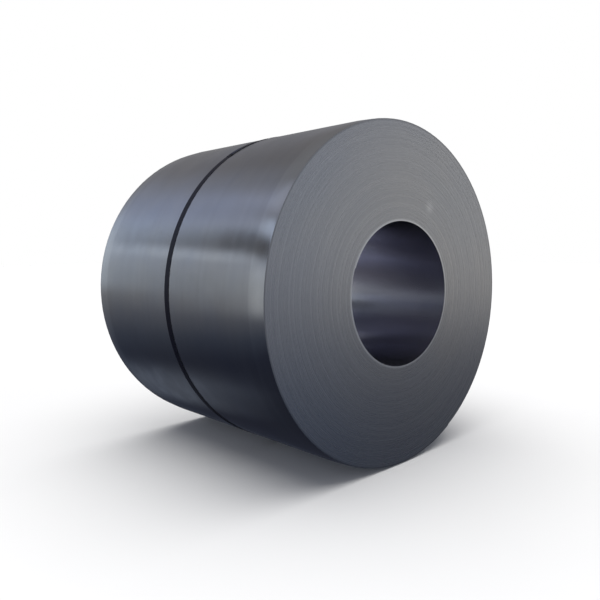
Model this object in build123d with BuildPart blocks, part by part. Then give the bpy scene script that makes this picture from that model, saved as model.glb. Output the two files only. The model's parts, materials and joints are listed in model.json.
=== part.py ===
# A coil of sheet steel, lying on its side with its bore level.
# The strip is wound into one solid roll with an open bore. Its turns show on both ends as rings.
# One flat steel band goes round the middle of the roll, and a crimped seal joins the band's two ends.
# The roll's axis runs along Y, with the front end towards -Y. The origin is the middle of the line on
# which the roll lies, at floor height, and +Z is up. Lengths are in millimetres and angles in degrees.
# An angle round the roll starts at +X and turns towards +Z, as seen from the front.

import os
from math import ceil, cos, pi, radians, sin

from build123d import *

# The roll
OUTER_DIAMETER = 1450.0
BORE_DIAMETER = 610.0
COIL_WIDTH = 1250.0
STRIP_THICKNESS = 3.0

# The strip is thinner along its edges, so the roll's outside falls away beside each end
EDGE_DROP_WIDTH = 80.0
EDGE_DROP_DEPTH = 3.2
LIP_WIDTH = 9.0
LIP_DEPTH = 1.6

# Turns on the ends: each turn's sheared edge is flat, with worn corners, and some turns are set in
TURN_CORNER = 0.7
TURN_GROOVE_DEPTH = 0.8
TURN_WANDER = 1.2
WANDER_TURNS_LONG = 31.0
WANDER_TURNS_SHORT = 6.7

# The strip's outer end, or tail, and its inner end, or head, each leave a step one strip thick
TAIL_ANGLE = -62.0
HEAD_ANGLE = 158.0
LAP_ARC = 50.0
LAP_RUNOUT = 0.05

# The band, and the seal on it
STRAP_WIDTH = 32.0
STRAP_THICKNESS = 1.0
STRAP_EDGE_RADIUS = 0.3
STRAP_LAP_ANGLE = 114.0
STRAP_LAP_LENGTH = 150.0
SEAL_ANGLE = 122.0
SEAL_LENGTH = 64.0
SEAL_THICKNESS = 1.0
SEAL_CLEARANCE = 0.2
SEAL_NOTCH_PAIRS = 2
SEAL_NOTCH_SPACING = 26.0
SEAL_NOTCH_RADIUS = 4.5
SEAL_NOTCH_DEPTH = 3.2

# How far the shapes that are cut away reach past the roll's ends
CUT_MARGIN = 20.0

OUTER_RADIUS = OUTER_DIAMETER / 2
BORE_RADIUS = BORE_DIAMETER / 2
HALF_WIDTH = COIL_WIDTH / 2
AXIS_HEIGHT = OUTER_RADIUS + STRAP_THICKNESS
COIL_AXIS = Axis((0, 0, AXIS_HEIGHT), (0, -1, 0))

END_RADIUS = OUTER_RADIUS - EDGE_DROP_DEPTH - LIP_DEPTH
TURN_COUNT = ceil((OUTER_RADIUS - BORE_RADIUS) / STRIP_THICKNESS)
TURN_PITCH = (END_RADIUS - BORE_RADIUS) / TURN_COUNT
GROOVE_FLOOR = HALF_WIDTH - TURN_WANDER - TURN_GROOVE_DEPTH

os.makedirs("parts", exist_ok=True)


def radial_plane(angle, shift=0.0, shift_angle=0.0):
    """The half plane through the roll's axis at an angle: its x is the radius and its y runs along Y."""
    turn = radians(angle)
    centre = (shift * cos(radians(shift_angle)), 0, AXIS_HEIGHT + shift * sin(radians(shift_angle)))
    return Plane(origin=centre, x_dir=(cos(turn), 0, sin(turn)), z_dir=(-sin(turn), 0, cos(turn)))


def end_plane(y):
    """A plane across the roll's axis: its x is +X and its y is +Z, and it faces the front."""
    return Plane(origin=(0, y, AXIS_HEIGHT), x_dir=(1, 0, 0), z_dir=(0, -1, 0))


def turn_set_in(turn):
    """How far a turn's edge lies inside the end of the roll: many turns are flush, others wander inwards."""
    slow = sin(2 * pi * turn / WANDER_TURNS_LONG)
    quick = sin(2 * pi * turn / WANDER_TURNS_SHORT)
    return TURN_WANDER * max(0.0, slow * quick)


def end_outline():
    """Points (radius, distance from mid-width) across one end, from the bore to the outside."""
    points = [(BORE_RADIUS, GROOVE_FLOOR)]
    for turn in range(TURN_COUNT):
        inside = BORE_RADIUS + turn * TURN_PITCH
        outside = inside + TURN_PITCH
        edge = HALF_WIDTH - turn_set_in(turn)
        points.append((inside + TURN_CORNER, edge))
        points.append((outside - TURN_CORNER, edge))
        points.append((outside, GROOVE_FLOOR))
    return points


def shoulder_outline(inset=0.0):
    """Points (radius, distance from mid-width) from the end's rim up to the full radius."""
    return [
        (END_RADIUS + LIP_DEPTH - inset, HALF_WIDTH - LIP_WIDTH),
        (OUTER_RADIUS - inset, HALF_WIDTH - EDGE_DROP_WIDTH),
    ]


def both_sides(half):
    """A half outline, from the end to mid-width, followed by its mirror image."""
    return half + [(radius, -y) for radius, y in reversed(half)]


def lap_shift():
    """How far a lap's arc is off centre, so that it drops by one strip over the lap's length."""
    return (STRIP_THICKNESS - LAP_RUNOUT) / (1 - cos(radians(LAP_ARC)))


def arc_degrees(length, radius):
    """The angle that a length takes up round the roll."""
    return length / radius * 180 / pi


def lap_sector(start):
    """The corners of a wedge of the roll's cross section that covers a lap, in end_plane coordinates."""
    reach = 2 * OUTER_DIAMETER
    spread = (start, start + LAP_ARC)
    return [(0, 0)] + [(reach * cos(radians(a)), reach * sin(radians(a))) for a in spread]


# What the tail leaves low: from the step, the outside rises again by one strip
TAIL_RUNOUT_ANGLE = TAIL_ANGLE + LAP_ARC
with BuildPart() as tail_recess:
    with BuildSketch(end_plane(HALF_WIDTH + CUT_MARGIN)):
        with BuildLine():
            Polyline(lap_sector(TAIL_ANGLE), close=True)
        make_face()
    extrude(amount=COIL_WIDTH + 2 * CUT_MARGIN)
    with BuildSketch(radial_plane(TAIL_ANGLE, lap_shift(), TAIL_RUNOUT_ANGLE)):
        with BuildLine():
            low = lap_shift() + LAP_RUNOUT
            past_end = HALF_WIDTH + 2 * CUT_MARGIN
            rim = END_RADIUS - low
            half = [(0, past_end), (rim, past_end), (rim, HALF_WIDTH), *shoulder_outline(low)]
            Polyline(both_sides(half), close=True)
        make_face()
    shifted_centre = radial_plane(0, lap_shift(), TAIL_RUNOUT_ANGLE).origin
    revolve(axis=Axis(shifted_centre, (0, -1, 0)), mode=Mode.SUBTRACT)

# What the head leaves open in the bore: from the step, the wall comes in again by one strip
HEAD_RUNOUT_ANGLE = HEAD_ANGLE + LAP_ARC
with BuildPart() as head_recess:
    with BuildSketch(end_plane(HALF_WIDTH + CUT_MARGIN)):
        away = radians(HEAD_RUNOUT_ANGLE + 180)
        with Locations((lap_shift() * cos(away), lap_shift() * sin(away))):
            Circle(BORE_RADIUS + lap_shift() + LAP_RUNOUT)
        with BuildLine():
            Polyline(lap_sector(HEAD_ANGLE), close=True)
        make_face(mode=Mode.INTERSECT)
    extrude(amount=COIL_WIDTH + 2 * CUT_MARGIN)

# The roll, turned in one piece, with its turns on both ends
with BuildPart() as coil:
    with BuildSketch(radial_plane(0)):
        with BuildLine():
            Polyline(both_sides(end_outline() + shoulder_outline()), close=True)
        make_face()
    revolve(axis=COIL_AXIS)
    add(tail_recess.part, mode=Mode.SUBTRACT)
    add(head_recess.part, mode=Mode.SUBTRACT)
coil.part.label = "coil"

# What the crimping tool bites out of the seal and of the band under it, from both sides
SEAL_INNER_HEIGHT = 2 * STRAP_THICKNESS + SEAL_CLEARANCE
SEAL_INNER_WIDTH = STRAP_WIDTH + 2 * SEAL_CLEARANCE
SEAL_HEIGHT = SEAL_INNER_HEIGHT + SEAL_THICKNESS
SEAL_WIDTH = SEAL_INNER_WIDTH + 2 * SEAL_THICKNESS
NOTCH_CENTRE = SEAL_WIDTH / 2 + SEAL_NOTCH_RADIUS - SEAL_NOTCH_DEPTH
with BuildPart() as crimp_notches:
    for pair in range(SEAL_NOTCH_PAIRS):
        along = (pair - (SEAL_NOTCH_PAIRS - 1) / 2) * SEAL_NOTCH_SPACING
        face_on = radial_plane(SEAL_ANGLE + arc_degrees(along, OUTER_RADIUS))
        under_band = Plane(
            origin=face_on.from_local_coords((OUTER_RADIUS - SEAL_HEIGHT, 0, 0)),
            x_dir=(0, 1, 0),
            z_dir=face_on.x_dir,
        )
        with BuildSketch(under_band):
            with Locations((NOTCH_CENTRE, 0), (-NOTCH_CENTRE, 0)):
                Circle(SEAL_NOTCH_RADIUS)
        extrude(amount=3 * SEAL_HEIGHT)

# The band: one closed ring round the roll, with a second layer where its ends overlap
STRAP_LAP_ARC = arc_degrees(STRAP_LAP_LENGTH, OUTER_RADIUS)
with BuildPart() as strap:
    with BuildSketch(radial_plane(STRAP_LAP_ANGLE)):
        with Locations((OUTER_RADIUS + STRAP_THICKNESS / 2, 0)):
            RectangleRounded(STRAP_THICKNESS, STRAP_WIDTH, STRAP_EDGE_RADIUS)
    revolve(axis=COIL_AXIS)
    with BuildSketch(radial_plane(STRAP_LAP_ANGLE)):
        with Locations((OUTER_RADIUS + STRAP_THICKNESS * 3 / 2, 0)):
            Rectangle(STRAP_THICKNESS, STRAP_WIDTH - 2 * STRAP_EDGE_RADIUS)
    revolve(axis=COIL_AXIS, revolution_arc=STRAP_LAP_ARC)
    add(crimp_notches.part, mode=Mode.SUBTRACT)
strap.part.label = "strap"

# The seal: a channel of sheet steel over both layers of the band
SEAL_ARC = arc_degrees(SEAL_LENGTH, OUTER_RADIUS)
with BuildPart() as strap_seal:
    with BuildSketch(radial_plane(SEAL_ANGLE - SEAL_ARC / 2)):
        with Locations((OUTER_RADIUS + SEAL_HEIGHT / 2, 0)):
            Rectangle(SEAL_HEIGHT, SEAL_WIDTH)
        with Locations((OUTER_RADIUS + SEAL_INNER_HEIGHT / 2, 0)):
            Rectangle(SEAL_INNER_HEIGHT, SEAL_INNER_WIDTH, mode=Mode.SUBTRACT)
    revolve(axis=COIL_AXIS, revolution_arc=SEAL_ARC)
    add(crimp_notches.part, mode=Mode.SUBTRACT)
strap_seal.part.label = "strap_seal"

for piece in (coil, strap, strap_seal):
    export_step(piece.part, f"parts/{piece.part.label}.step")
    print(piece.part.label, "volume", round(piece.part.volume), "mm3")
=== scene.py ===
# %% [markdown]
# # A coil of sheet steel
#
# A rolling mill sells thin steel wound up like a roll of tape. The strip is as wide as the roll, about
# 140 turns lie on each other, and the bore in the middle is left by the mandrel that it was wound on.
# One steel band round the middle keeps it from springing open. In this lesson the coil is modelled
# piece by piece at its real size, given its finishes with shader nodes, and set on a pale studio floor.
#
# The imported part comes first. It fixes every size and place, so each piece here is built around it.

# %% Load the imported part
import json
from math import atan2, ceil, cos, degrees, hypot, radians, sin, tau

import bpy
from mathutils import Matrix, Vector, noise


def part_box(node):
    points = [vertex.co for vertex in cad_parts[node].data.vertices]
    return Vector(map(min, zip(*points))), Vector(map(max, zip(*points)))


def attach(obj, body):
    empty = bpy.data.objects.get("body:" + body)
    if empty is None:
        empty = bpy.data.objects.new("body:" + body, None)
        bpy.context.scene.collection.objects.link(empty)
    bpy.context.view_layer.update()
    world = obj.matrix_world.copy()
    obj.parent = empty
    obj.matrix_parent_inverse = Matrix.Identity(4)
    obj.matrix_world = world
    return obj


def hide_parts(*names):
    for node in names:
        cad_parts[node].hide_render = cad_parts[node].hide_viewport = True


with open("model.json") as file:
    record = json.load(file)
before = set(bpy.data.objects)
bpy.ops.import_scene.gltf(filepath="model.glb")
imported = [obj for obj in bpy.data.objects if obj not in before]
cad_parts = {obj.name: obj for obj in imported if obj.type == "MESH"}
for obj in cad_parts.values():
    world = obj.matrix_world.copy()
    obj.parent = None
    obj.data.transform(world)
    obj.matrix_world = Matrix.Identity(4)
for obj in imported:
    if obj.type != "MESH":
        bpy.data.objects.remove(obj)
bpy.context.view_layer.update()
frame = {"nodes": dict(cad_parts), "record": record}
print("packed nodes:", sorted(frame["nodes"]))

# %% [markdown]
# ## Sizes that the frame gives
#
# The bore is a mount in the part's record, so its radius and the height of its axis are read from there.
# The roll lies on its band, which makes the outside radius one band's thickness less than that height.
# Everything is in metres, with the roll's axis along Y and its front end towards -Y.

# %% Read the main sizes
bore = next(m for m in frame["record"]["mounts"] if m["name"] == "bore")
AXIS_HEIGHT = bore["pos_m"][2]
BORE_RADIUS = bore["dims"]["r_mm"] / 1000
HALF_WIDTH = bore["dims"]["length_mm"] / 2000
BAND_THICKNESS = 0.001
OUTER_RADIUS = AXIS_HEIGHT - BAND_THICKNESS
STRIP_THICKNESS = 0.003
AXIS_POINT = Vector((0, 0, AXIS_HEIGHT))
print(f"roll {2 * OUTER_RADIUS:.3f} m across, {2 * HALF_WIDTH:.3f} m wide, bore {2 * BORE_RADIUS:.3f} m")

# %% [markdown]
# ## Small helpers for working in edit mode
#
# An operator acts on whatever is selected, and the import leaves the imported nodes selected. So each step
# starts by choosing one object and nothing else. A profile is a line of points that an operator then
# sweeps into a surface, as a lathe does with a cutting tool.

# %% Helpers: choose one object, draw a profile, turn it round the axis
def work_on(piece):
    """Makes a piece the only selected and active object."""
    bpy.ops.object.select_all(action="DESELECT")
    piece.select_set(True)
    bpy.context.view_layer.objects.active = piece
    return piece


def at_angle(angle, radius, y):
    """The point at an angle round the roll, in degrees from +X towards +Z, seen from the front."""
    turn = radians(angle)
    return Vector((radius * cos(turn), y, AXIS_HEIGHT + radius * sin(turn)))


def polar(point):
    """A point's angle round the roll, in degrees from 0 to 360, and its radius."""
    return degrees(atan2(point[2] - AXIS_HEIGHT, point[0])) % 360, hypot(point[0], point[2] - AXIS_HEIGHT)


def draw_profile(name, outline, angle):
    """A closed line through points (radius, y), standing at an angle round the roll."""
    mesh = bpy.data.meshes.new(name)
    count = len(outline)
    corners = [at_angle(angle, radius, y) for radius, y in outline]
    mesh.from_pydata(corners, [(i, (i + 1) % count) for i in range(count)], [])
    piece = bpy.data.objects.new(name, mesh)
    bpy.context.scene.collection.objects.link(piece)
    return piece


def turn_profile(piece, arc, steps):
    """Sweeps a profile round the roll's axis, through an arc in degrees."""
    work_on(piece)
    bpy.ops.object.mode_set(mode="EDIT")
    bpy.ops.mesh.select_all(action="SELECT")
    bpy.ops.mesh.spin(steps=steps, angle=radians(arc), center=AXIS_POINT, axis=(0, 1, 0))
    bpy.ops.object.mode_set(mode="OBJECT")
    return piece


def join(pieces, name):
    """Joins pieces into the first one and names it."""
    work_on(pieces[0])
    for other in pieces[1:]:
        other.select_set(True)
    bpy.ops.object.join()
    pieces[0].name = pieces[0].data.name = name
    return pieces[0]


def count_triangles(piece):
    """How many triangles a piece's mesh has."""
    return sum(len(face.vertices) - 2 for face in piece.data.polygons)


# %% [markdown]
# ## The roll's profile
#
# Each turn of the strip shows on the end as a flat sheared edge, 3 mm wide less its worn corners, with a
# dark gap beside the next turn. The winding is never perfect: many turns are flush, and others wander a
# little inwards. The strip is thinner along its two edges, so the outside falls away over the last 80 mm
# on each side. All of this is one outline, which is then turned.

# %% The profile, from the bore to the outside and across
EDGE_DROP_WIDTH = 0.080
EDGE_DROP_DEPTH = 0.0032
LIP_WIDTH = 0.009
LIP_DEPTH = 0.0016
TURN_CORNER = 0.00018
TURN_GAP_DEPTH = 0.0004
TURN_WANDER = 0.0005
WANDER_TURNS_LONG = 31.0
WANDER_TURNS_SHORT = 6.7
SPANS_ACROSS = 18
COUNT_SLACK = 0.001

END_RADIUS = OUTER_RADIUS - EDGE_DROP_DEPTH - LIP_DEPTH
TURN_COUNT = ceil((OUTER_RADIUS - BORE_RADIUS) / STRIP_THICKNESS - COUNT_SLACK)
TURN_PITCH = (END_RADIUS - BORE_RADIUS) / TURN_COUNT
GAP_FLOOR = HALF_WIDTH - TURN_WANDER - TURN_GAP_DEPTH


def turn_set_in(turn):
    """How far a turn's edge lies inside the end of the roll."""
    slow = sin(tau * turn / WANDER_TURNS_LONG)
    quick = sin(tau * turn / WANDER_TURNS_SHORT)
    return TURN_WANDER * max(0.0, slow * quick)


def end_outline():
    """Points (radius, y) across the far end, from the bore to the rim."""
    points = [(BORE_RADIUS, GAP_FLOOR)]
    for turn in range(TURN_COUNT):
        inside = BORE_RADIUS + turn * TURN_PITCH
        outside = inside + TURN_PITCH
        edge = HALF_WIDTH - turn_set_in(turn)
        points += [(inside + TURN_CORNER, edge), (outside - TURN_CORNER, edge), (outside, GAP_FLOOR)]
    return points


def roll_outline():
    """The whole closed outline: the far end, the outside, the front end, and the bore."""
    rim = [(END_RADIUS + LIP_DEPTH, HALF_WIDTH - LIP_WIDTH)]
    far = end_outline() + rim
    front = [(radius, -y) for radius, y in reversed(far)]
    flat = HALF_WIDTH - EDGE_DROP_WIDTH
    outside = [(OUTER_RADIUS, flat - 2 * flat * i / SPANS_ACROSS) for i in range(SPANS_ACROSS + 1)]
    return far + outside + front


print(f"{TURN_COUNT} turns, {TURN_PITCH * 1000:.3f} mm apart, {len(roll_outline())} points in the profile")

# %% [markdown]
# ## Turning the roll, with a step where the strip begins and ends
#
# The strip's outer end, its tail, lies on the turn below and leaves a step one strip high. Its inner end,
# the head, does the same in the bore. A full turn of the profile can't hold a step, because the profile
# at the end meets the one at the start. So the roll is turned in two arcs that meet at the tail and at
# the head. The outside is lowered past the tail, and the bore is opened past the head, along a cosine
# that runs out over 50 degrees. Merging the doubles then closes everything except the two steps, and a
# face is filled into each of them.

# %% Cut the laps of the tail and of the head
TAIL_ANGLE = -62.0
HEAD_ANGLE = 158.0
LAP_ARC = 50.0
ANGLE_SLACK = 0.0001


def lap_drop(angle, start):
    """How much of one strip is missing at an angle past the start of a lap."""
    past = (angle - start) % 360
    if past > LAP_ARC:
        return 0.0
    return STRIP_THICKNESS * (1 - cos(radians(LAP_ARC - past))) / (1 - cos(radians(LAP_ARC)))


def lower_outside(piece):
    """Takes the tail's missing strip off the outside of an arc that starts at the tail."""
    for vertex in piece.data.vertices:
        angle, radius = polar(vertex.co)
        drop = lap_drop(angle + ANGLE_SLACK, TAIL_ANGLE)
        if drop and radius > END_RADIUS - STRIP_THICKNESS:
            full = radius if radius > END_RADIUS else END_RADIUS
            vertex.co = at_angle(angle, min(radius, full - drop), vertex.co.y)


def open_bore(piece):
    """Takes the head's missing strip out of the bore wall of an arc that starts at the head."""
    for vertex in piece.data.vertices:
        angle, radius = polar(vertex.co)
        drop = lap_drop(angle + ANGLE_SLACK, HEAD_ANGLE)
        if drop and radius < BORE_RADIUS + STRIP_THICKNESS:
            vertex.co = at_angle(angle, max(radius, BORE_RADIUS + drop), vertex.co.y)


# %% Turn the two arcs and close them
STEP_ANGLE = 10 / 3
MERGE_DISTANCE = 0.00002


def turned_arc(name, start, end, cut):
    """One arc of the roll, from one angle to another, with its lap cut."""
    arc = (end - start) % 360
    piece = turn_profile(draw_profile(name, roll_outline(), start), arc, round(arc / STEP_ANGLE))
    cut(piece)
    return piece


arcs = [
    turned_arc("tail_arc", TAIL_ANGLE, HEAD_ANGLE, lower_outside),
    turned_arc("head_arc", HEAD_ANGLE, TAIL_ANGLE, open_bore),
]
roll = join(arcs, "wound_coil")
bpy.ops.object.mode_set(mode="EDIT")
bpy.ops.mesh.select_all(action="SELECT")
bpy.ops.mesh.remove_doubles(threshold=MERGE_DISTANCE)
bpy.ops.mesh.select_all(action="DESELECT")
bpy.ops.mesh.select_mode(type="EDGE")
bpy.ops.mesh.select_non_manifold()
bpy.ops.mesh.fill()
bpy.ops.mesh.select_all(action="SELECT")
bpy.ops.mesh.normals_make_consistent(inside=False)
bpy.ops.mesh.select_all(action="DESELECT")
bpy.ops.mesh.select_non_manifold()
bpy.ops.object.mode_set(mode="OBJECT")
open_edges = sum(edge.select for edge in roll.data.edges)
print(f"roll: {count_triangles(roll)} triangles, {open_edges} open edges")

# %% [markdown]
# ## Shape that no lathe leaves
#
# A wound sheet is never as true as a turned bar. The outside waves by a fraction of a millimetre, which
# is what makes its reflections wander, and each turn's edge drifts in and out as it goes round. Both are
# small moves of the points we have, made with smooth noise that has no seam because it is read at the
# point's own place. Everything only moves inwards, so the roll stays inside its packed size.

# %% Let the outside wave and the turns drift
WAVE_DEPTH = 0.0004
WAVE_LENGTH = 0.30
DRIFT_DEPTH = 0.00005
DRIFT_LENGTH = 0.60
NOISE_STEP_PER_TURN = 0.7
ROLL_SMOOTH_ANGLE = 25.0


def inward_noise(place, depth):
    """Smooth noise between 0 and a depth."""
    return depth * min(1.0, max(0.0, 0.5 + 0.5 * noise.noise(place)))


for vertex in roll.data.vertices:
    angle, radius = polar(vertex.co)
    if abs(vertex.co.y) > GAP_FLOOR + MERGE_DISTANCE:
        own_row = (radius - BORE_RADIUS) // TURN_PITCH * NOISE_STEP_PER_TURN
        place = Vector((vertex.co.x / DRIFT_LENGTH, own_row, vertex.co.z / DRIFT_LENGTH))
        side = 1 if vertex.co.y > 0 else -1
        vertex.co.y -= side * inward_noise(place, DRIFT_DEPTH)
    elif radius > END_RADIUS:
        wave = inward_noise(vertex.co / WAVE_LENGTH, WAVE_DEPTH)
        vertex.co = at_angle(angle, radius - wave, vertex.co.y)
work_on(roll)
bpy.ops.object.shade_smooth_by_angle(angle=radians(ROLL_SMOOTH_ANGLE))
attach(roll, "root")
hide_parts("coil")
print("roll box:", [round(v, 4) for corner in (roll.bound_box[0], roll.bound_box[6]) for v in corner])

# %% [markdown]
# ## The band: one strip whose ends lie over each other
#
# The band is a flat steel strip, pulled tight round the roll. Its two ends overlap, so one end has to
# climb over the other. The section is drawn once and turned through the full circle plus the overlap,
# which gives a long strip with two open ends. Then every step of that strip is lifted to the height of
# the layer that it lies on, with a short rise where it climbs.

# %% The band's section, and how high it lies
BAND_WIDTH = 0.032
BAND_EDGE = 0.0003
BAND_LAP_ANGLE = 114.0
BAND_LAP_LENGTH = 0.150
LAYER_GAP = 0.00002
CLIMB_LENGTH = 0.012


def arc_degrees(length):
    """The angle that a length takes up on the outside of the roll."""
    return degrees(length / OUTER_RADIUS)


def band_section():
    """Points (radius, y) of the band's section: a flat bar with four small bevels."""
    low, high = OUTER_RADIUS, OUTER_RADIUS + BAND_THICKNESS
    side, inner = BAND_WIDTH / 2, BAND_WIDTH / 2 - BAND_EDGE
    right = [(low, inner), (low + BAND_EDGE, side), (high - BAND_EDGE, side), (high, inner)]
    return right + [(radius, -y) for radius, y in reversed(right)]


def layer_lift(travelled):
    """How high the band lies over the roll, at an angle travelled from its first end."""
    climb = arc_degrees(CLIMB_LENGTH)
    share = min(1.0, max(0.0, (travelled - 360 + climb) / climb))
    return (BAND_THICKNESS + LAYER_GAP) * share * share * (3 - 2 * share)


# %% Turn the band, lift its upper layer and close its ends
BAND_STEPS_PER_DEGREE = 1.0

band_arc = 360 + arc_degrees(BAND_LAP_LENGTH)
band_steps = round(band_arc * BAND_STEPS_PER_DEGREE)
section = band_section()
band = turn_profile(draw_profile("steel_band", section, BAND_LAP_ANGLE), band_arc, band_steps)
for vertex in band.data.vertices:
    travelled = vertex.index // len(section) * band_arc / band_steps
    angle, radius = polar(vertex.co)
    vertex.co = at_angle(angle, radius + layer_lift(travelled), vertex.co.y)
bpy.ops.object.mode_set(mode="EDIT")
bpy.ops.mesh.select_mode(type="EDGE")
bpy.ops.mesh.select_all(action="SELECT")
bpy.ops.mesh.fill_holes(sides=len(section))
bpy.ops.mesh.select_all(action="SELECT")
bpy.ops.mesh.normals_make_consistent(inside=False)
bpy.ops.object.mode_set(mode="OBJECT")
print(f"band: {band_arc:.1f} degrees long, {count_triangles(band)} triangles")

# %% [markdown]
# ## The seal, made flat and laid round
#
# The seal is a short channel of sheet steel over both layers of the band. It is easiest to model flat: a
# grid for its top, two long edges pushed down for its legs, and a thickness from a Solidify modifier. It
# is drawn on a flat sheet where x is the length round the roll, and z the height above it. Then each
# point is laid round the roll, which keeps its length and curves it to fit.

# %% Model the seal flat
SEAL_ANGLE = 122.0
SEAL_LENGTH = 0.064
SEAL_THICKNESS = 0.001
SEAL_CLEARANCE = 0.0002
SEAL_SPANS_ROUND = 24
SEAL_SPANS_ACROSS = 8

seal_inner_height = 2 * BAND_THICKNESS + SEAL_CLEARANCE
seal_width = BAND_WIDTH + 2 * (SEAL_CLEARANCE + SEAL_THICKNESS)
seal_height = seal_inner_height + SEAL_THICKNESS


def lay_round(piece, angle):
    """Lays a flat piece round the roll: x runs round it from an angle, and z is the height above it."""
    for vertex in piece.data.vertices:
        x, y, z = vertex.co
        vertex.co = at_angle(angle + arc_degrees(x), OUTER_RADIUS + z, y)


bpy.ops.object.select_all(action="DESELECT")
bpy.ops.mesh.primitive_grid_add(
    x_subdivisions=SEAL_SPANS_ROUND, y_subdivisions=SEAL_SPANS_ACROSS, size=1
)
seal = bpy.context.object
seal.name = seal.data.name = "band_seal"
seal.scale = (SEAL_LENGTH, seal_width, 1)
seal.location.z = seal_height
bpy.ops.object.transform_apply(location=True, rotation=True, scale=True)
for part in (*seal.data.edges, *seal.data.polygons):
    part.select = False
for vertex in seal.data.vertices:
    vertex.select = abs(vertex.co.y) > seal_width / 2 - MERGE_DISTANCE
bpy.ops.object.mode_set(mode="EDIT")
bpy.ops.mesh.select_mode(type="EDGE")
bpy.ops.mesh.extrude_edges_move(TRANSFORM_OT_translate={"value": (0, 0, -seal_height)})
bpy.ops.mesh.select_all(action="SELECT")
bpy.ops.mesh.normals_make_consistent(inside=False)
bpy.ops.object.mode_set(mode="OBJECT")
print("seal sheet:", len(seal.data.polygons), "faces, box", [round(v * 1000, 1) for v in seal.dimensions])

# %% [markdown]
# ## Thickness, round corners and the crimp
#
# Solidify gives the sheet its thickness towards the inside, so its outer size stays as drawn. The crimping
# tool bites half-round notches out of both sides, through the seal and the band together. They are cut
# with a Boolean modifier, from one cutter for both pieces, and a Bevel modifier then takes the sharpness
# off the seal's edges. Each modifier is applied at once, so the next one works on the real mesh.

# %% Thicken the seal, lay it round, and notch it with the band
NOTCH_RADIUS = 0.0045
NOTCH_DEPTH = 0.0032
NOTCH_SPACING = 0.026
NOTCH_SIDES = 32
SEAL_CORNER = 0.0003
SEAL_CORNER_ANGLE = 50.0
BAND_SMOOTH_ANGLE = 30.0


def apply_modifier(piece, kind, **settings):
    """Adds a modifier to a piece and applies it."""
    modifier = piece.modifiers.new(kind.lower(), kind)
    for name, value in settings.items():
        setattr(modifier, name, value)
    work_on(piece)
    bpy.ops.object.modifier_apply(modifier=modifier.name)


def notch_cutter():
    """Four upright pegs beside the seal, laid out flat, as one piece."""
    pegs = []
    centre = seal_width / 2 + NOTCH_RADIUS - NOTCH_DEPTH
    for x in (-NOTCH_SPACING / 2, NOTCH_SPACING / 2):
        for y in (-centre, centre):
            middle = (x, y, seal_height / 2)
            bpy.ops.object.select_all(action="DESELECT")
            bpy.ops.mesh.primitive_cylinder_add(
                vertices=NOTCH_SIDES, radius=NOTCH_RADIUS, depth=4 * seal_height, location=middle
            )
            pegs.append(bpy.context.object)
            bpy.ops.object.transform_apply(location=True, rotation=True, scale=True)
    return join(pegs, "notch_cutter")


apply_modifier(seal, "SOLIDIFY", thickness=SEAL_THICKNESS, offset=-1, use_even_offset=True)
lay_round(seal, SEAL_ANGLE)
cutter = notch_cutter()
lay_round(cutter, SEAL_ANGLE)
for piece in (seal, band):
    apply_modifier(piece, "BOOLEAN", object=cutter, operation="DIFFERENCE", solver="EXACT", use_self=True)
bpy.data.objects.remove(cutter)
apply_modifier(
    seal, "BEVEL", width=SEAL_CORNER, segments=2, limit_method="ANGLE", angle_limit=radians(SEAL_CORNER_ANGLE)
)
for piece, node, slot in ((band, "strap", "strap_steel"), (seal, "strap_seal", "seal_steel")):
    work_on(piece)
    bpy.ops.object.shade_smooth_by_angle(angle=radians(BAND_SMOOTH_ANGLE))
    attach(piece, "root")
    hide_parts(node)
    _, packed_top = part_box(node)
    own_top = [max(vertex.co[i] for vertex in piece.data.vertices) for i in range(3)]
    print(piece.name, count_triangles(piece), "triangles, highest corner", [round(v, 4) for v in own_top])
    print("the packed one's highest corner", [round(v, 4) for v in packed_top])

# %% [markdown]
# ## Helpers for shader nodes
#
# The finishes share a handful of effects, and each effect is built once as a node group. Every group
# reads its pattern at the point's own place on the roll, so that no seam shows. A few helpers keep the
# node code short: they feed a socket, make a node, do a sum, spread a range, mix two colours, and make
# and place a group.

# %% Helpers: sockets, nodes, sums and mixes
MIX_SHARE, MIX_FIRST, MIX_SECOND, MIX_RESULT = 0, 6, 7, 2


def plug(tree, value, socket):
    """Feeds a socket from another node's socket, or with a number, a vector or a (red, green, blue)."""
    if isinstance(value, bpy.types.NodeSocket):
        tree.links.new(value, socket)
    elif socket.type == "RGBA" and len(value) == 3:
        socket.default_value = (*value, 1)
    else:
        socket.default_value = value


def add_node(tree, kind, inputs=None, **settings):
    """A new node of a kind, with its settings, and its inputs fed by name or number."""
    node = tree.nodes.new("ShaderNode" + kind)
    for name, value in settings.items():
        setattr(node, name, value)
    for name, value in (inputs or {}).items():
        plug(tree, value, node.inputs[name])
    return node


def calc(tree, operation, *values):
    """A Math node on numbers or sockets; gives back its output socket."""
    return add_node(tree, "Math", dict(enumerate(values)), operation=operation).outputs[0]


def spread(tree, value, low, high, to_low=0.0, to_high=1.0):
    """Maps a socket's range smoothly onto another range."""
    limits = {"From Min": low, "From Max": high, "To Min": to_low, "To Max": to_high}
    node = add_node(tree, "MapRange", {"Value": value, **limits}, interpolation_type="SMOOTHSTEP")
    return node.outputs["Result"]


def blend(tree, share, first, second, how="MIX"):
    """Mixes two colours, each a socket or a (red, green, blue), by a share."""
    node = add_node(tree, "Mix", {MIX_SHARE: share}, data_type="RGBA", blend_type=how)
    plug(tree, first, node.inputs[MIX_FIRST])
    plug(tree, second, node.inputs[MIX_SECOND])
    return node.outputs[MIX_RESULT]


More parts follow.
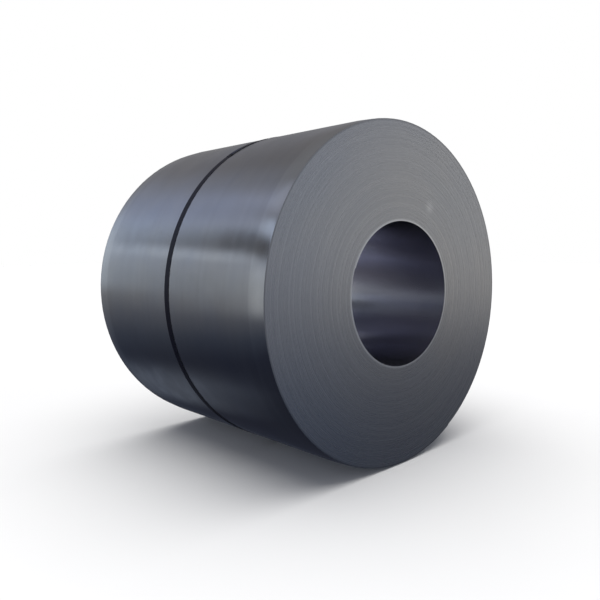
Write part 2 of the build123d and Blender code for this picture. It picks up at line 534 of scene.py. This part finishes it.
# %% Helpers: groups, and the point's own place
def new_group(name, inputs, outputs):
    """A shader node group. inputs is {name: default number}, outputs a list of names."""
    group = bpy.data.node_groups.new(name, "ShaderNodeTree")
    for socket, value in inputs.items():
        made = group.interface.new_socket(socket, in_out="INPUT", socket_type="NodeSocketFloat")
        made.default_value = value
    for socket in outputs:
        group.interface.new_socket(socket, in_out="OUTPUT", socket_type="NodeSocketFloat")
    return group, group.nodes.new("NodeGroupInput").outputs, group.nodes.new("NodeGroupOutput").inputs


def use_group(tree, group, **values):
    """Places a group in a material; underscores in the names stand for spaces."""
    node = add_node(tree, "Group", node_tree=group)
    for name, value in values.items():
        plug(tree, value, node.inputs[name.replace("_", " ")])
    return node.outputs


def own_place(tree):
    """The point's own coordinates on its piece, whole and as X, Y and Z."""
    place = add_node(tree, "TexCoord").outputs["Object"]
    return place, add_node(tree, "SeparateXYZ", {0: place}).outputs


# %% [markdown]
# **Where on the roll.** The first group turns a point's own place into the measures that a coil has: the
# distance from the axis, the angle round it, and the place along it. The mesh has straight sides between
# its steps, so the distance is that of the step's corners, and a painted ring follows the modelled one.

# %% Group: place on the roll
STEP = radians(STEP_ANGLE)

roll_place, _, place_out = new_group("place_on_roll", {}, ["Radius", "Angle", "Along", "From Middle"])
_, parts = own_place(roll_place)
height = calc(roll_place, "SUBTRACT", parts["Z"], AXIS_HEIGHT)
x_squared = calc(roll_place, "POWER", parts["X"], 2)
height_squared = calc(roll_place, "POWER", height, 2)
from_axis = calc(roll_place, "SQRT", calc(roll_place, "ADD", x_squared, height_squared))
turned = calc(roll_place, "ARCTAN2", height, parts["X"])
past_middle = calc(roll_place, "SUBTRACT", turned, radians(TAIL_ANGLE) + STEP / 2)
off_middle = calc(roll_place, "PINGPONG", past_middle, STEP / 2)
on_corner = calc(roll_place, "DIVIDE", calc(roll_place, "COSINE", off_middle), cos(STEP / 2))
ring_radius = calc(roll_place, "MULTIPLY", from_axis, on_corner)
plug(roll_place, ring_radius, place_out["Radius"])
plug(roll_place, turned, place_out["Angle"])
plug(roll_place, parts["Y"], place_out["Along"])
plug(roll_place, calc(roll_place, "ABSOLUTE", parts["Y"]), place_out["From Middle"])

# %% [markdown]
# **Streaks.** Rolling draws every mark on the strip out along its length, which runs round the roll. Noise
# gives such streaks when it is read coarsely along x and z and finely across. Across is the way along the
# axis on the outside, and the radius on the ends, so the material says which.

# %% Group: streaks round the roll
streaks, given, streak_out = new_group(
    "round_streaks", {"Across": 0.0, "Fineness": 400.0, "Length": 2.0}, ["Streak"]
)
_, parts = own_place(streaks)
stretched = add_node(streaks, "CombineXYZ", {
    "X": calc(streaks, "DIVIDE", parts["X"], given["Length"]),
    "Y": calc(streaks, "MULTIPLY", given["Across"], given["Fineness"]),
    "Z": calc(streaks, "DIVIDE", parts["Z"], given["Length"]),
})
grain = add_node(streaks, "TexNoise", {
    "Vector": stretched.outputs[0], "Scale": 1.0, "Detail": 3.0, "Roughness": 0.65,
})
plug(streaks, spread(streaks, grain.outputs[0], 0.25, 0.75), streak_out["Streak"])

# %% [markdown]
# **Turns.** Each turn of the strip was sheared and wound a little differently, so its edge has a shade of
# its own. White noise on the turn's number gives that, the same all the way round.

# %% Group: a shade for each turn
turns, given, turn_out = new_group("turn_shade", {"Radius": 0.5, "Turns Together": 1.0}, ["Shade"])
width = calc(turns, "MULTIPLY", given["Turns Together"], TURN_PITCH)
from_bore = calc(turns, "SUBTRACT", given["Radius"], BORE_RADIUS)
number = calc(turns, "FLOOR", calc(turns, "DIVIDE", from_bore, width))
shade = add_node(turns, "TexWhiteNoise", {"W": calc(turns, "ADD", number, 0.5)}, noise_dimensions="1D")
plug(turns, shade.outputs["Value"], turn_out["Shade"])

# %% [markdown]
# **Patches.** Oil and thin oxide lie on the steel in soft clouds. They change the colour a little and the
# gloss a little more.

# %% Group: soft patches
patches, given, patch_out = new_group("soft_patches", {"Size": 0.3, "Seed": 0.0}, ["Patch"])
place, _ = own_place(patches)
cloud = add_node(patches, "TexNoise", {
    "Vector": place, "W": given["Seed"], "Scale": calc(patches, "DIVIDE", 1.0, given["Size"]),
    "Detail": 4.0, "Roughness": 0.55, "Distortion": 0.3,
}, noise_dimensions="4D")
plug(patches, spread(patches, cloud.outputs[0], 0.3, 0.7), patch_out["Patch"])

# %% [markdown]
# **Worn edges.** A Bevel node bends the normal near every edge of the mesh. Where the bent normal leaves
# the real one there is an edge, and the difference makes a mask for rubbed metal. Noise breaks it up.

# %% Group: worn edges
WEAR_GAIN = 6.0
WEAR_GRAIN = 90.0

wear, given, wear_out = new_group("edge_wear", {"Reach": 0.001, "Amount": 0.5}, ["Wear"])
bent = add_node(wear, "Bevel", {"Radius": given["Reach"]}, samples=4)
real = add_node(wear, "NewGeometry")
both_normals = {0: bent.outputs[0], 1: real.outputs["Normal"]}
agree = add_node(wear, "VectorMath", both_normals, operation="DOT_PRODUCT")
place, _ = own_place(wear)
rubbed = add_node(wear, "TexNoise", {"Vector": place, "Scale": WEAR_GRAIN, "Detail": 3.0})
edge = calc(wear, "MULTIPLY", calc(wear, "SUBTRACT", 1.0, agree.outputs["Value"]), WEAR_GAIN)
broken = calc(wear, "MULTIPLY", edge, spread(wear, rubbed.outputs[0], 0.35, 0.65, 0.3, 1.0))
worn = add_node(wear, "Math", {0: broken, 1: given["Amount"]}, operation="MULTIPLY", use_clamp=True)
plug(wear, worn.outputs[0], wear_out["Wear"])
print("groups:", [group.name for group in bpy.data.node_groups])

# %% [markdown]
# ## The finishes of the roll
#
# The roll is one strip, so its three finishes start from the same grey steel. They differ in what happened
# to it. The outside was rolled and oiled, and is the smoothest; a painted highlight lightens its two edge
# strips. The ends are sheared edges, lying side by side in rings, and are rougher. The bore is the inside of
# the first turn.
#
# All the fine marks run round the axis, so the steel scatters light across them: along the roll on its
# outside, and towards and away from the axis on its ends. The shader's anisotropy does this. Its tangent
# circles the Y axis, and a quarter turn of the anisotropy sets the scatter across the marks. The ends
# were sheared and not rolled, so they have less of it.

# %% Helpers for the steel
STEEL = (0.405, 0.410, 0.425)
STEEL_BLUE = (0.345, 0.370, 0.425)
STEEL_DARK = (0.270, 0.275, 0.295)
SHEARED = (0.452, 0.450, 0.456)
# A light steel for the bright streaks, and the tone of the painted highlight on the edge strips.
BRIGHT_STEEL_AND_SHEEN = (0.560, 0.575, 0.590)
ACROSS_THE_MARKS = 0.25


def new_material(name, metallic=1.0):
    """A material with a Principled shader, and its tree and shader."""
    material = bpy.data.materials.new(name)
    material.use_nodes = True
    tree = material.node_tree
    shader = next(node for node in tree.nodes if node.type == "BSDF_PRINCIPLED")
    shader.inputs["Metallic"].default_value = metallic
    return material, tree, shader


def connect(tree, shader, **values):
    """Links sockets to the shader's inputs; underscores in the names stand for spaces."""
    for name, value in values.items():
        plug(tree, value, shader.inputs[name.replace("_", " ")])


def bump(tree, height, distance):
    """A Bump node's normal, from a height between 0 and 1 and how deep that is in metres."""
    return add_node(tree, "Bump", {"Height": height, "Distance": distance}).outputs["Normal"]


def brush_round(tree, shader, amount):
    """Makes a shader scatter across marks that circle the roll's axis."""
    shader.inputs["Anisotropic"].default_value = amount
    shader.inputs["Anisotropic Rotation"].default_value = ACROSS_THE_MARKS
    circling = add_node(tree, "Tangent", direction_type="RADIAL", axis="Y")
    plug(tree, circling.outputs[0], shader.inputs["Tangent"])


# %% [markdown]
# ** The outside.** Soft clouds of blue and grey, faint streaks round the roll, and a painted highlight that
# lightens the strip along each edge.

# %% Steel of the outside
EDGE_BLUR = 0.004
# How much the painted highlight lightens each edge strip.
EDGE_SHEEN = 0.22
DARK_STREAKS = 0.15
BRIGHT_STREAKS = 0.06
OUTSIDE_GLOSS = (0.16, 0.20)
STREAK_GLOSS = 0.03
STREAK_DEPTH = 0.000005
BRUSHED = 0.85


def outside_steel():
    """Rolled and oiled, with a painted highlight on its edge strips."""
    material, tree, shader = new_material("rolled_outside")
    where = use_group(tree, roll_place)
    fine = use_group(tree, streaks, Across=where["Along"], Fineness=900.0, Length=1.2)["Streak"]
    broad = use_group(tree, streaks, Across=where["Along"], Fineness=30.0, Length=3.0)["Streak"]
    cloud = use_group(tree, patches, Size=0.45, Seed=1.0)["Patch"]
    film = use_group(tree, patches, Size=0.12, Seed=5.0)["Patch"]
    edge_start = HALF_WIDTH - EDGE_DROP_WIDTH
    blurred = (edge_start - EDGE_BLUR, edge_start + EDGE_BLUR)
    # Painted highlight: each edge strip is mixed towards a lighter tone, which brightens its reflection.
    edge_sheen = spread(tree, where["From Middle"], *blurred, 0.0, EDGE_SHEEN)
    colour = blend(tree, cloud, STEEL, STEEL_BLUE)
    colour = blend(tree, calc(tree, "MULTIPLY", broad, DARK_STREAKS), colour, STEEL_DARK)
    colour = blend(tree, calc(tree, "MULTIPLY", fine, BRIGHT_STREAKS), colour, BRIGHT_STEEL_AND_SHEEN)
    colour = blend(tree, edge_sheen, colour, BRIGHT_STEEL_AND_SHEEN)
    gloss = spread(tree, film, 0.0, 1.0, *OUTSIDE_GLOSS)
    gloss = calc(tree, "ADD", gloss, calc(tree, "MULTIPLY", fine, STREAK_GLOSS))
    connect(tree, shader, Base_Color=colour, Roughness=gloss, Normal=bump(tree, fine, STREAK_DEPTH))
    brush_round(tree, shader, BRUSHED)
    return material


# %% [markdown]
# ** The ends.** Each turn has a shade of its own, but a faint one. A painted highlight lightens the innermost
# turns round the bore, a painted shade darkens the outermost ones, and one light rub mark lies above the
# bore.

# %% Steel of the ends
# A light tone, used for the rub mark and for the painted highlights.
RUB_AND_HIGHLIGHT = (0.850, 0.860, 0.870)
# The colour of the painted shade on the outermost turns.
RIM_SHADE = (0.130, 0.132, 0.140)
# Painted highlight on the innermost turns round the bore: its width and share.
RIM_HIGHLIGHT, RIM_HIGHLIGHT_SHARE = 0.013, 0.7
# Painted shade on the outermost turns: its width and share.
SHADED_RIM, SHADED_RIM_SHARE = 0.010, 0.5
TURN_SHADE = 0.10
GROUP_SHADE = 0.08
END_CLOUDS = 0.3
END_GLOSS = (0.26, 0.28)
SHADE_GLOSS = 0.02
END_STREAK_DEPTH = 0.000002
END_BRUSHED = 0.35
RUB_MARK_PLACE = (0.186, -0.625, 1.097)
RUB_MARK_SIZE, RUB_MARK_SHARE = 0.040, 0.3


def rub_mark(tree):
    """A mask for the one light mark on the front end."""
    place, _ = own_place(tree)
    away = add_node(tree, "VectorMath", {0: place, 1: RUB_MARK_PLACE}, operation="DISTANCE")
    return spread(tree, away.outputs["Value"], 0.0, RUB_MARK_SIZE, RUB_MARK_SHARE, 0.0)


def end_steel():
    """Sheared edges side by side."""
    material, tree, shader = new_material("sheared_ends")
    where = use_group(tree, roll_place)
    shade = use_group(tree, turns, Radius=where["Radius"])["Shade"]
    group_shade = use_group(tree, turns, Radius=where["Radius"], Turns_Together=7.0)["Shade"]
    fine = use_group(tree, streaks, Across=where["Radius"], Fineness=1400.0, Length=2.0)["Streak"]
    cloud = use_group(tree, patches, Size=0.5, Seed=2.0)["Patch"]
    # Painted highlight: the innermost turns round the bore are lightened.
    rim_highlight = spread(tree, where["Radius"], BORE_RADIUS, BORE_RADIUS + RIM_HIGHLIGHT, RIM_HIGHLIGHT_SHARE, 0.0)
    # Painted shade: the outermost turns are darkened towards the rim.
    dark = spread(tree, where["Radius"], END_RADIUS - SHADED_RIM, END_RADIUS, 0.0, SHADED_RIM_SHARE)
    colour = blend(tree, calc(tree, "MULTIPLY", shade, TURN_SHADE), SHEARED, STEEL_DARK)
    colour = blend(tree, calc(tree, "MULTIPLY", group_shade, GROUP_SHADE), colour, STEEL_DARK)
    colour = blend(tree, calc(tree, "MULTIPLY", cloud, END_CLOUDS), colour, STEEL_BLUE)
    colour = blend(tree, rim_highlight, colour, RUB_AND_HIGHLIGHT)
    colour = blend(tree, dark, colour, RIM_SHADE)
    colour = blend(tree, rub_mark(tree), colour, RUB_AND_HIGHLIGHT)
    gloss = spread(tree, fine, 0.0, 1.0, *END_GLOSS)
    gloss = calc(tree, "ADD", gloss, calc(tree, "MULTIPLY", shade, SHADE_GLOSS))
    connect(tree, shader, Base_Color=colour, Roughness=gloss, Normal=bump(tree, fine, END_STREAK_DEPTH))
    brush_round(tree, shader, END_BRUSHED)
    return material


# %% [markdown]
# ** The bore.** What lights it comes in at the far end and is mirrored to and fro two or three times on
# its way out, so its colour counts two or three times. Its steel is painted the lightest here, which lifts
# the bore's shade, and it looks darker than the rest only because of its place. A painted highlight lies
# along one side, which fades slowly upwards and quickly downwards.

# %% Steel of the bore
# Painted light: the bore's steel is lighter than the rest of the steel, which lifts the shade inside the
# bore.
BORE_STEEL = (0.590, 0.590, 0.660)
BORE_STEEL_DULL = (0.540, 0.535, 0.610)
BORE_GLOSS = (0.21, 0.25)
# A painted highlight along one side of the bore: where it lies, how far it fades up and down, and its share.
BORE_HIGHLIGHT_ANGLE = radians(-19)
BORE_HIGHLIGHT_RISE = radians(44)
BORE_HIGHLIGHT_FALL = radians(13)
BORE_HIGHLIGHT_SHARE = 0.95


def bore_steel():
    """The inside of the first turn, with one painted highlight along one side."""
    material, tree, shader = new_material("bore_wall")
    cloud = use_group(tree, patches, Size=0.20, Seed=3.0)["Patch"]
    angle = use_group(tree, roll_place)["Angle"]
    # Painted highlight: a band of lighter colour along one side of the bore.
    highlight_top = BORE_HIGHLIGHT_ANGLE + BORE_HIGHLIGHT_RISE
    highlight_foot = BORE_HIGHLIGHT_ANGLE - BORE_HIGHLIGHT_FALL
    upper = spread(tree, angle, BORE_HIGHLIGHT_ANGLE, highlight_top, BORE_HIGHLIGHT_SHARE, 0.0)
    lower = spread(tree, angle, highlight_foot, BORE_HIGHLIGHT_ANGLE)
    bore_highlight = calc(tree, "MULTIPLY", upper, lower)
    colour = blend(tree, bore_highlight, blend(tree, cloud, BORE_STEEL, BORE_STEEL_DULL), RUB_AND_HIGHLIGHT)
    connect(tree, shader, Base_Color=colour, Roughness=spread(tree, cloud, 0.0, 1.0, *BORE_GLOSS))
    brush_round(tree, shader, BRUSHED)
    return material


# %% The three finishes on their faces
ON_END, IN_BORE = 1, 2
for material in (outside_steel(), end_steel(), bore_steel()):
    roll.data.materials.append(material)
for face in roll.data.polygons:
    _, radius = polar(face.center)
    if abs(face.center.y) > GAP_FLOOR - MERGE_DISTANCE and radius < END_RADIUS:
        face.material_index = ON_END
    elif radius < BORE_RADIUS + 2 * STRIP_THICKNESS:
        face.material_index = IN_BORE
used = [face.material_index for face in roll.data.polygons]
print("faces outside, on the ends and in the bore:", [used.count(i) for i in range(3)])

# %% [markdown]
# ## The finishes of the band and its seal
#
# The band is lacquered nearly black, with a blue cast, and the lacquer is rubbed through along its edges.
# The seal is bare blackened steel. Both show the same worn edges, each with its own reach.

# %% Lacquer of the band, blackened steel of the seal
BLACK_BLUE = (0.0025, 0.0025, 0.0085)
BLACKENED = (0.055, 0.056, 0.062)
BARE_EDGE = (0.300, 0.300, 0.310)
COAT_REFLECTION = 0.10
COAT_TINT = (0.65, 0.70, 1.0, 1)
COAT_STREAKS = 0.04
COAT_STREAK_DEPTH = 0.00003
GLOSS_RANGE = 0.12


def dark_steel(name, dark, metal, reach, rub, shine):
    """A dark coat on steel, worn at its edges, with faint streaks along the band."""
    material, tree, shader = new_material(name)
    shader.inputs["Specular IOR Level"].default_value = COAT_REFLECTION
    shader.inputs["Specular Tint"].default_value = COAT_TINT
    where = use_group(tree, roll_place)
    fine = use_group(tree, streaks, Across=where["Along"], Fineness=1600.0, Length=0.25)["Streak"]
    worn = use_group(tree, wear, Reach=reach, Amount=rub)["Wear"]
    rubbed = blend(tree, calc(tree, "MULTIPLY", fine, COAT_STREAKS), dark, BLACKENED)
    colour = blend(tree, worn, rubbed, BARE_EDGE)
    gloss = spread(tree, fine, 0.0, 1.0, shine, shine + GLOSS_RANGE)
    bare = spread(tree, worn, 0.0, 1.0, metal, 1.0)
    normal = bump(tree, fine, COAT_STREAK_DEPTH)
    connect(tree, shader, Base_Color=colour, Roughness=gloss, Metallic=bare, Normal=normal)
    return material


lacquer = dark_steel("band_lacquer", BLACK_BLUE, metal=0.0, reach=0.0006, rub=0.25, shine=0.30)
blackened = dark_steel("blackened_seal", BLACKENED, metal=0.8, reach=0.0012, rub=0.8, shine=0.36)
for piece, material in ((band, lacquer), (seal, blackened)):
    piece.data.materials.clear()
    piece.data.materials.append(material)
    print(piece.name, "has the finish", material.name)

# %% [markdown]
# ## A light tent
#
# Steel shows what is round it more than it shows its own colour, so its surroundings are designed as
# carefully as its finish. Here they are a tent: a wall all round, brightest from 10 to 30 degrees above
# the horizon, dimmer overhead and dark below, because the coil's shading is mostly that gradient
# mirrored. Soft cards hang on the wall, some lighter and some darker than it. A card is a window in the
# sky, given by its name, its sides in azimuth and in elevation, the blur of those sides, its colour, and
# whether that is added to the wall or multiplied with it, with all angles in degrees. Two wide, weak
# glows below the horizon stand for the pale floor, so that the ends aren't black when seen from above.
# The camera sees a plain white backdrop instead of the tent.

# %% The tent's wall, graded by elevation
WALL = [
    (-90, (0.020, 0.022, 0.030)),
    (-36, (0.028, 0.031, 0.046)),
    (-28, (0.030, 0.034, 0.052)),
    (-20, (0.068, 0.078, 0.104)),
    (-12, (0.155, 0.162, 0.185)),
    (-4, (0.270, 0.275, 0.290)),
    (3, (0.335, 0.350, 0.370)),
    (10, (0.430, 0.455, 0.500)),
    (18, (0.410, 0.440, 0.510)),
    (28, (0.400, 0.425, 0.510)),
    (38, (0.310, 0.315, 0.350)),
    (50, (0.290, 0.290, 0.300)),
    (90, (0.400, 0.400, 0.400)),
]

world = bpy.data.worlds.new("light_tent")
bpy.context.scene.world = world
world.use_nodes = True
tent = world.node_tree
tent.nodes.clear()
looking = add_node(tent, "SeparateXYZ", {0: add_node(tent, "TexCoord").outputs["Generated"]}).outputs
azimuth = calc(tent, "DEGREES", calc(tent, "ARCTAN2", looking["Y"], looking["X"]))
elevation = calc(tent, "DEGREES", calc(tent, "ARCSINE", looking["Z"]))
wall = add_node(tent, "ValToRGB", {0: calc(tent, "MULTIPLY_ADD", elevation, 1 / 180, 0.5)})
stops = wall.color_ramp.elements
while len(stops) < len(WALL):
    stops.new(1.0)
for stop, (degree, colour) in zip(stops, WALL):
    stop.position = degree / 180 + 0.5
    stop.color = (*colour, 1)
print("tent:", len(stops), "stops")

# %% Soft cards on the wall
CARDS = [
    ("blue_card", (99, 113), (20, 37), 4, (0.08, 0.11, 0.19), "ADD"),
    ("side_card", (92, 114), (-3, 21), 3, (0.27, 0.32, 0.37), "ADD"),
    ("grey_card", (40, 86), (6, 44), 8, (0.70, 0.65, 0.58), "MULTIPLY"),
    ("shade_card", (115, 148), (15.5, 25), 2, (0.20, 0.17, 0.14), "MULTIPLY"),
    ("line_lamp", (112, 128), (11, 15), 1, (0.28, 0.30, 0.31), "ADD"),
    ("upper_rim_lamp", (124, 150), (26, 33), 2, (0.42, 0.50, 0.60), "ADD"),
    ("rim_glow", (110, 130), (35.5, 50), 2, (0.26, 0.28, 0.35), "ADD"),
    ("rim_lamp", (130, 147), (-10, 12), 4, (0.36, 0.37, 0.36), "ADD"),
    ("front_card", (-120, -44), (-24, 16), 2, (0.00, 0.02, 0.06), "ADD"),
    ("right_lamp", (-44, -8), (-7, 16), 2, (0.23, 0.21, 0.17), "ADD"),
    ("face_lamp", (-56, -24), (-6, 4), 3, (0.17, 0.17, 0.17), "ADD"),
    ("face_shade", (-42, -10), (-26, -7), 4, (0.70, 0.70, 0.72), "MULTIPLY"),
    ("floor_glow", (-150, 10), (-75, -36), 6, (0.105, 0.104, 0.106), "ADD"),
    ("side_glow", (-172, -84), (-38, -6), 6, (0.085, 0.088, 0.096), "ADD"),
    ("low_lamp", (76, 98), (-35, -26), 4, (0.15, 0.17, 0.20), "ADD"),
    ("bore_lamp", (24, 45), (-27, -15), 4, (0.50, 0.56, 0.72), "ADD"),
]
light = wall.outputs[0]
for name, (left, right), (low, high), blur, colour, how in CARDS:
    sides = [
        spread(tent, azimuth, left - blur, left + blur),
        spread(tent, azimuth, right - blur, right + blur, 1.0, 0.0),
        spread(tent, elevation, low - blur, low + blur),
        spread(tent, elevation, high - blur, high + blur, 1.0, 0.0),
    ]
    window = sides[0]
    for side in sides[1:]:
        window = calc(tent, "MULTIPLY", window, side)
    light = blend(tent, window, light, colour, how)
glow = add_node(tent, "Background", {"Color": light})
backdrop = add_node(tent, "Background", {"Color": (1.0, 1.0, 1.0)})
seen = add_node(tent, "LightPath").outputs["Is Camera Ray"]
mixed = add_node(tent, "MixShader", {0: seen, 1: glow.outputs[0], 2: backdrop.outputs[0]})
plug(tent, mixed.outputs[0], add_node(tent, "OutputWorld").inputs["Surface"])
print("cards:", [card[0] for card in CARDS])

# %% [markdown]
# ## A pale floor and the lamp over it
#
# The floor is pale and takes the coil's soft shadow. The steel doesn't mirror the floor or the lamp, which
# keeps the roll's underside as dark as the tent makes it.

# %% The floor and its lamp
FLOOR_SIZE = 60.0
PALE = (0.868, 0.862, 0.850)
LESS_PALE = (0.838, 0.832, 0.820)
LAMP_WIDTH = 75.0
LAMP_STRENGTH = 2.7

bpy.ops.object.select_all(action="DESELECT")
bpy.ops.mesh.primitive_plane_add(size=FLOOR_SIZE, location=(0, 0, 0))
floor = bpy.context.object
floor.name = "floor"
floor_paint, tree, shader = new_material("floor_paint", metallic=0.0)
shader.inputs["Roughness"].default_value = 0.9
shader.inputs["Specular IOR Level"].default_value = 0.0
connect(tree, shader, Base_Color=blend(tree, use_group(tree, patches, Size=2.5)["Patch"], PALE, LESS_PALE))
floor.data.materials.append(floor_paint)
floor.visible_glossy = False

bpy.ops.object.light_add(type="SUN", location=(0, 0, 4))
lamp = bpy.context.object
lamp.name = "overhead_lamp"
lamp.data.angle = radians(LAMP_WIDTH)
lamp.data.energy = LAMP_STRENGTH
lamp.visible_glossy = False

# %% [markdown]
# ## The camera
#
# The photograph was taken from about 2.5 m from the middle of the roll's near end, on its left and a
# little above its axis, looking nearly level. A 35 mm lens on a 36 mm sensor frames it the same way. The
# roll doesn't sit on the lens's axis in the photograph, so the frame is shifted a little, which keeps the
# perspective as it is.

# %% Place the camera
CAMERA_PLACE = (-1.906, -2.193, 0.921)
CAMERA_HEADING = -47.87
CAMERA_TILT = -2.80
CAMERA_LENS = 35.30
SENSOR = 36.0
IMAGE_SIZE = 600
AXIS_PIXEL = (375, 276)

lens = bpy.data.cameras.new("camera")
lens.sensor_width = SENSOR
lens.lens = CAMERA_LENS
lens.shift_x = (IMAGE_SIZE / 2 - AXIS_PIXEL[0]) / IMAGE_SIZE
lens.shift_y = (AXIS_PIXEL[1] - IMAGE_SIZE / 2) / IMAGE_SIZE
camera = bpy.data.objects.new("camera", lens)
camera.location = CAMERA_PLACE
camera.rotation_euler = (radians(90 + CAMERA_TILT), 0, radians(CAMERA_HEADING))
bpy.context.scene.collection.objects.link(camera)
bpy.context.scene.camera = camera
bpy.context.scene.view_settings.view_transform = "Standard"
print(f"camera {Vector(CAMERA_PLACE).length:.2f} m from the origin, {CAMERA_LENS} mm lens")
